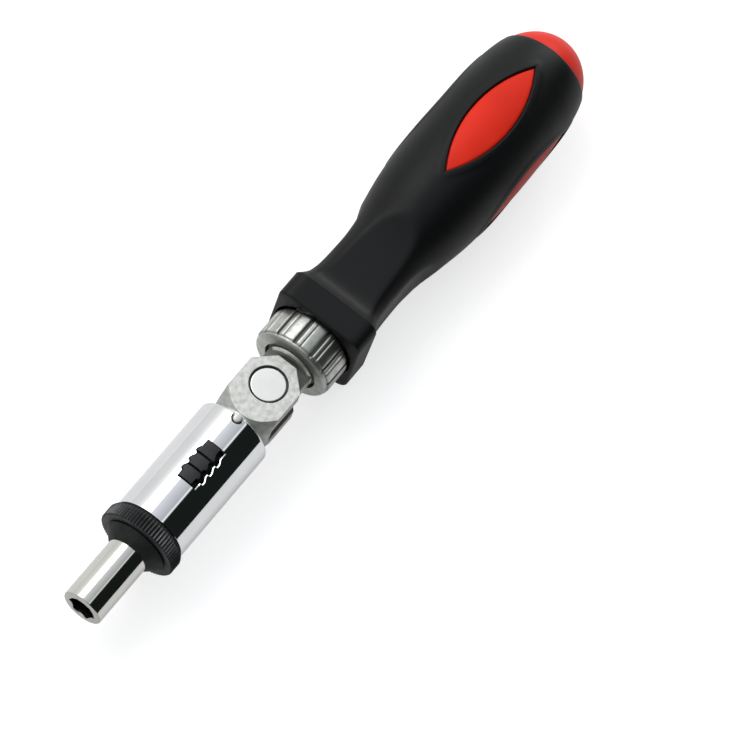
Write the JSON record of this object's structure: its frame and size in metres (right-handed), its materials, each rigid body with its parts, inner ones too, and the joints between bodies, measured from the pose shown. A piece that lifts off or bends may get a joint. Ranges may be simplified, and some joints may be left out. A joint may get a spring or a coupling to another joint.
{
  "type": "ratcheting screwdriver",
  "caption": "Ratcheting screwdriver with a magnetic hexagon bit socket, a direction button, a tilting head locked by a sliding ribbed collar, and a soft grip.",
  "frame": {"origin": "centre of the bit socket's mouth, on the tool's axis", "axes": "+X along the axis from the mouth to the handle's domed end, +Z out of the thumb button, +Y completes a right-handed frame"},
  "size_m": [0.1916, 0.0292, 0.0292],
  "materials": {
    "chrome": "polished chrome plate over steel",
    "zinc": "light satin die-cast zinc with a fine grain",
    "steel": "bare machined steel",
    "bronze": "sintered bronze",
    "black_metal": "blackened steel, fine straight knurl",
    "black_plastic": "matt black moulded plastic",
    "red_plastic": "satin red moulded plastic",
    "black_rubber": "soft black overmoulded rubber"
  },
  "bodies": {
    "handle": {"handle_core": "red_plastic", "grip": "black_rubber", "shank": "zinc", "shank_dowel": "steel", "spring_seat": "steel", "shank_clip": "black_metal", "collar_spring": "steel"},
    "collar": {"lock_collar": "zinc", "collar_pin": "steel", "lock_bolt": "steel"},
    "head": {"hinge_block": "zinc", "pivot_pin": "zinc", "pivot_cap": "zinc", "pivot_washers": "bronze", "barrel": "chrome", "barrel_key": "zinc", "pawl_carrier": "steel", "pawl_pins": "steel", "pawl_spring_forward": "steel", "pawl_spring_reverse": "steel", "front_bush": "bronze", "rear_bush": "bronze", "detent_ball": "steel", "detent_spring": "steel"},
    "spindle": {"bit_socket": "chrome", "spin_ring": "black_metal", "ratchet_gear": "steel", "bit_magnet": "steel", "spindle_clip": "steel"},
    "selector": {"selector_button": "black_plastic", "selector_plate": "steel"},
    "forward_pawl": {"pawl_forward": "steel"},
    "reverse_pawl": {"pawl_reverse": "steel"}
  },
  "joints": [
    {"name": "collar_slide", "type": "slide", "parent": "handle", "child": "collar", "axis": [1, 0, 0], "range_m": [0, 0.003], "stiffness_N_per_m": 1000, "springref_m": -0.003, "deforming": ["collar_spring"]},
    {"name": "head_tilt", "type": "hinge", "parent": "handle", "child": "head", "pos_m": [0.06925, 0, 0], "axis": [0, 0, 1], "range_deg": [-90, 90]},
    {"name": "spindle_spin", "type": "hinge", "parent": "head", "child": "spindle", "pos_m": [0, 0, 0], "axis": [1, 0, 0], "continuous": true},
    {"name": "selector_turn", "type": "hinge", "parent": "head", "child": "selector", "pos_m": [0.0422, 0, 0], "axis": [1, 0, 0], "range_deg": [0, 8]},
    {"name": "pawl_forward_lift", "type": "hinge", "parent": "head", "child": "forward_pawl", "pos_m": [0.03935, 0.00547, 0.00221], "axis": [-1, 0, 0], "range_deg": [0, 12], "stiffness_Nm_per_rad": 0.002, "springref_deg": -5.73, "deforming": ["pawl_spring_forward"]},
    {"name": "pawl_reverse_lift", "type": "hinge", "parent": "head", "child": "reverse_pawl", "pos_m": [0.03935, -0.00547, 0.00221], "axis": [1, 0, 0], "range_deg": [0, 12], "stiffness_Nm_per_rad": 0.002, "springref_deg": -5.73, "deforming": ["pawl_spring_reverse"]}
  ]
}
